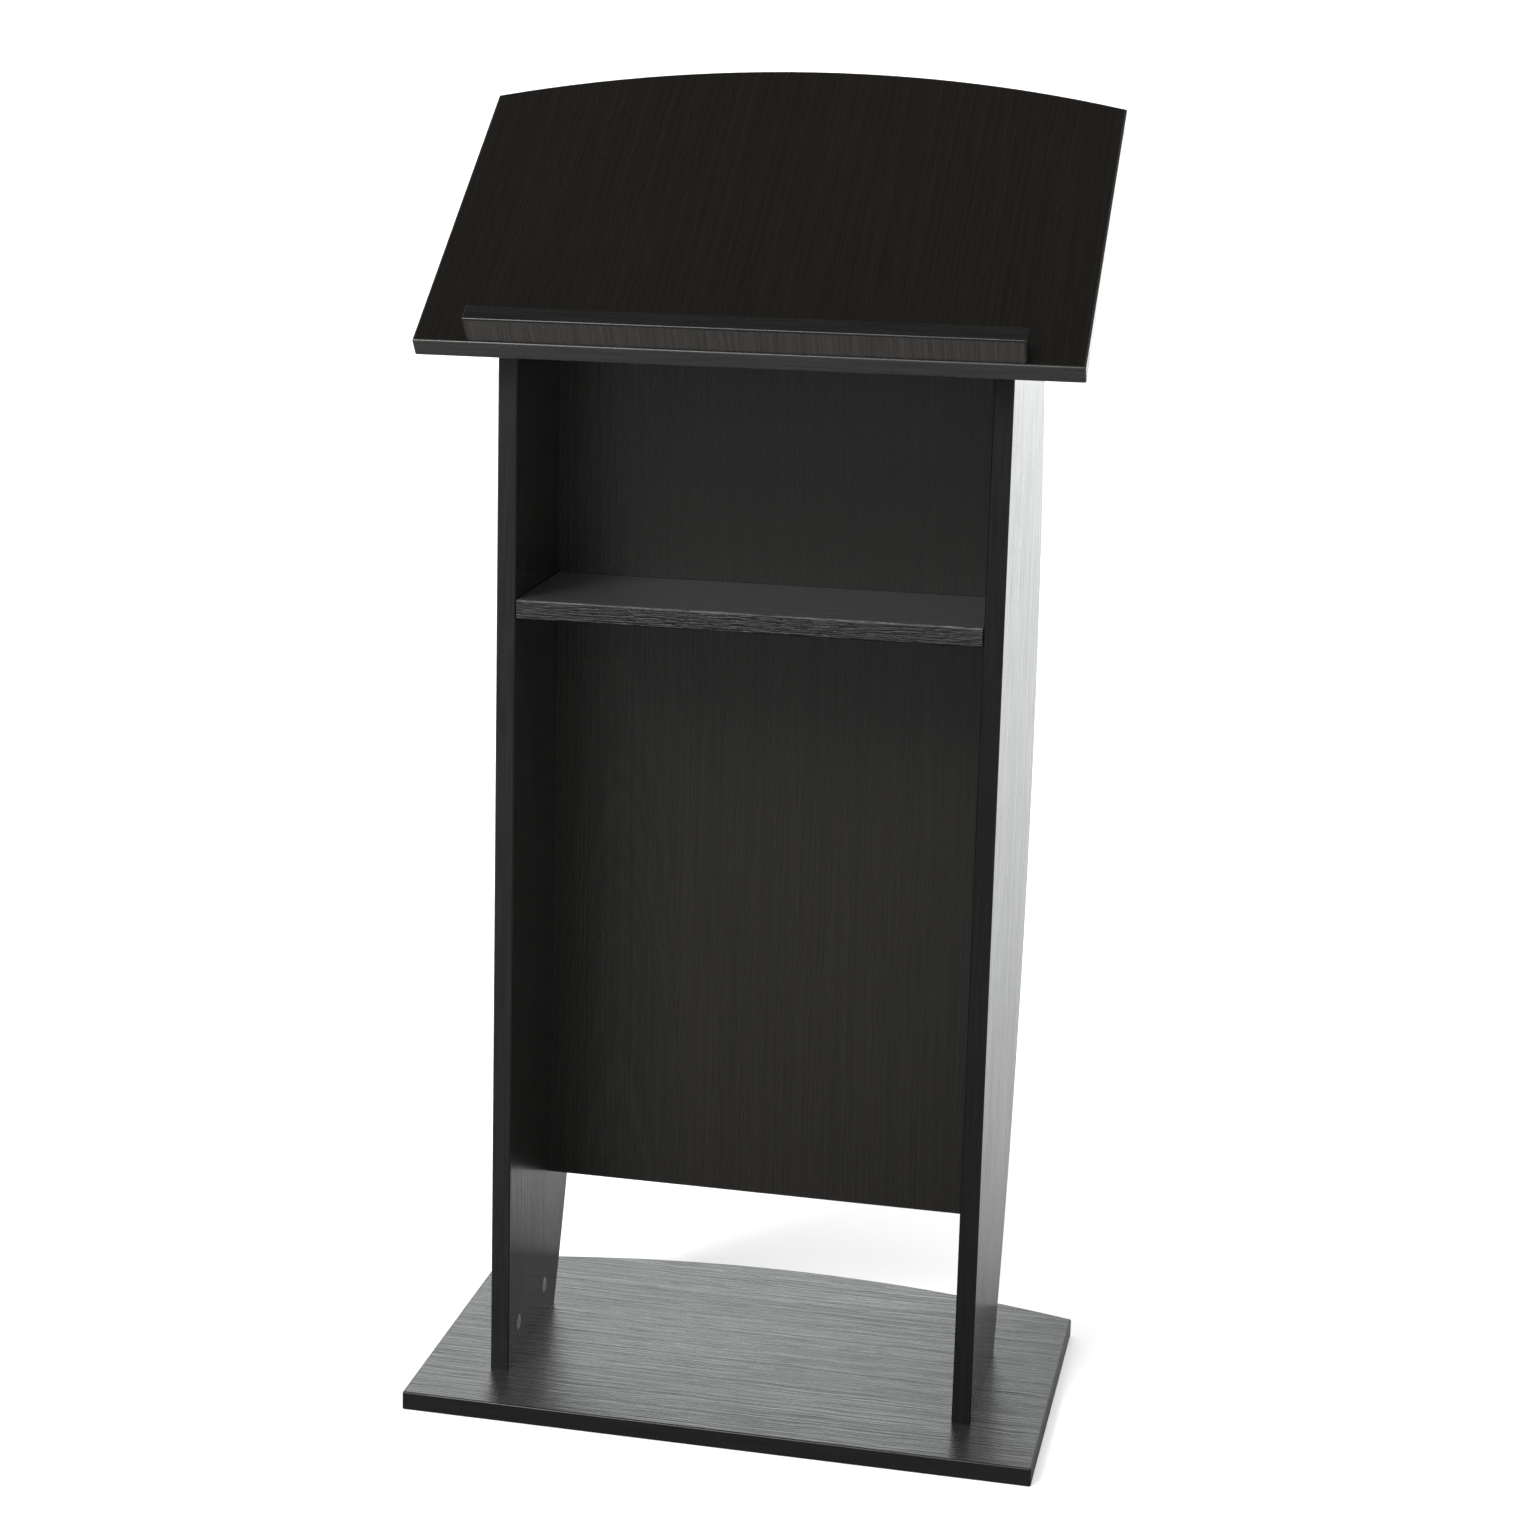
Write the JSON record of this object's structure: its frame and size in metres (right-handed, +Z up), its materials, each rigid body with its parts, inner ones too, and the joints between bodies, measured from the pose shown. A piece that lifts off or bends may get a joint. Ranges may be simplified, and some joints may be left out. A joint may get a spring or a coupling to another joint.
{
  "type": "presentation lectern",
  "caption": "Free-standing floor lectern: sloping reading top with a paper stop on two curved-backed side boards, with a shelf, an inset back panel and a bowed base plate.",
  "frame": {"origin": "on the floor, under the middle of the base plate", "axes": "+Z up, +Y from the speaker's side to the audience, +X to the speaker's right"},
  "size_m": [0.6, 0.396, 1.2543],
  "materials": {
    "black_laminate": "satin black-brown wood-grain laminate on particleboard",
    "black_edging": "satin black plastic edge banding",
    "cam_metal": "bright zinc die-cast",
    "zinc_bolt": "zinc-plated steel",
    "beech": "plain beech",
    "nickel_pin": "nickel-plated steel"
  },
  "bodies": {
    "stand": {"base_plate": "black_laminate", "reading_top": "black_laminate", "left_side_panel": "black_laminate", "right_side_panel": "black_laminate", "back_panel": "black_laminate", "shelf": "black_laminate", "paper_stop": "black_laminate", "base_plate_edge_band": "black_edging", "reading_top_edge_band": "black_edging", "left_side_edge_bands": "black_edging", "right_side_edge_bands": "black_edging", "back_panel_edge_band": "black_edging", "shelf_edge_band": "black_edging", "paper_stop_edge_band": "black_edging", "foot_cam_bolts": "zinc_bolt", "head_cam_bolts": "zinc_bolt", "back_cam_bolts": "zinc_bolt", "foot_dowels": "beech", "head_dowels": "beech", "back_dowels": "beech", "paper_stop_screws": "zinc_bolt", "shelf_pins": "nickel_pin"},
    "foot_cam_left_front": {"foot_cam_left_front": "cam_metal"},
    "foot_cam_left_rear": {"foot_cam_left_rear": "cam_metal"},
    "head_cam_left_front": {"head_cam_left_front": "cam_metal"},
    "head_cam_left_rear": {"head_cam_left_rear": "cam_metal"},
    "back_cam_left_lower": {"back_cam_left_lower": "cam_metal"},
    "back_cam_left_upper": {"back_cam_left_upper": "cam_metal"},
    "foot_cam_right_front": {"foot_cam_right_front": "cam_metal"},
    "foot_cam_right_rear": {"foot_cam_right_rear": "cam_metal"},
    "head_cam_right_front": {"head_cam_right_front": "cam_metal"},
    "head_cam_right_rear": {"head_cam_right_rear": "cam_metal"},
    "back_cam_right_lower": {"back_cam_right_lower": "cam_metal"},
    "back_cam_right_upper": {"back_cam_right_upper": "cam_metal"}
  },
  "joints": [
    {"name": "foot_cam_turn_left_front", "type": "hinge", "parent": "stand", "child": "foot_cam_left_front", "pos_m": [-0.216, -0.085, 0.052], "axis": [1, 0, 0], "range_deg": [0, 190]},
    {"name": "foot_cam_turn_left_rear", "type": "hinge", "parent": "stand", "child": "foot_cam_left_rear", "pos_m": [-0.216, 0.011, 0.052], "axis": [1, 0, 0], "range_deg": [0, 190]},
    {"name": "head_cam_turn_left_front", "type": "hinge", "parent": "stand", "child": "head_cam_left_front", "pos_m": [-0.216, -0.07203, 1.03016], "axis": [1, 0, 0], "range_deg": [0, 190]},
    {"name": "head_cam_turn_left_rear", "type": "hinge", "parent": "stand", "child": "head_cam_left_rear", "pos_m": [-0.216, 0.05658, 1.12533], "axis": [1, 0, 0], "range_deg": [0, 190]},
    {"name": "back_cam_turn_left_lower", "type": "hinge", "parent": "stand", "child": "back_cam_left_lower", "pos_m": [-0.182, 0.048, 0.26], "axis": [0, 1, 0], "range_deg": [0, 190]},
    {"name": "back_cam_turn_left_upper", "type": "hinge", "parent": "stand", "child": "back_cam_left_upper", "pos_m": [-0.182, 0.048, 1.04], "axis": [0, 1, 0], "range_deg": [0, 190]},
    {"name": "foot_cam_turn_right_front", "type": "hinge", "parent": "stand", "child": "foot_cam_right_front", "pos_m": [0.216, -0.085, 0.052], "axis": [-1, 0, 0], "range_deg": [0, 190]},
    {"name": "foot_cam_turn_right_rear", "type": "hinge", "parent": "stand", "child": "foot_cam_right_rear", "pos_m": [0.216, 0.011, 0.052], "axis": [-1, 0, 0], "range_deg": [0, 190]},
    {"name": "head_cam_turn_right_front", "type": "hinge", "parent": "stand", "child": "head_cam_right_front", "pos_m": [0.216, -0.07203, 1.03016], "axis": [-1, 0, 0], "range_deg": [0, 190]},
    {"name": "head_cam_turn_right_rear", "type": "hinge", "parent": "stand", "child": "head_cam_right_rear", "pos_m": [0.216, 0.05658, 1.12533], "axis": [-1, 0, 0], "range_deg": [0, 190]},
    {"name": "back_cam_turn_right_lower", "type": "hinge", "parent": "stand", "child": "back_cam_right_lower", "pos_m": [0.182, 0.048, 0.26], "axis": [0, 1, 0], "range_deg": [0, 190]},
    {"name": "back_cam_turn_right_upper", "type": "hinge", "parent": "stand", "child": "back_cam_right_upper", "pos_m": [0.182, 0.048, 1.04], "axis": [0, 1, 0], "range_deg": [0, 190]}
  ]
}
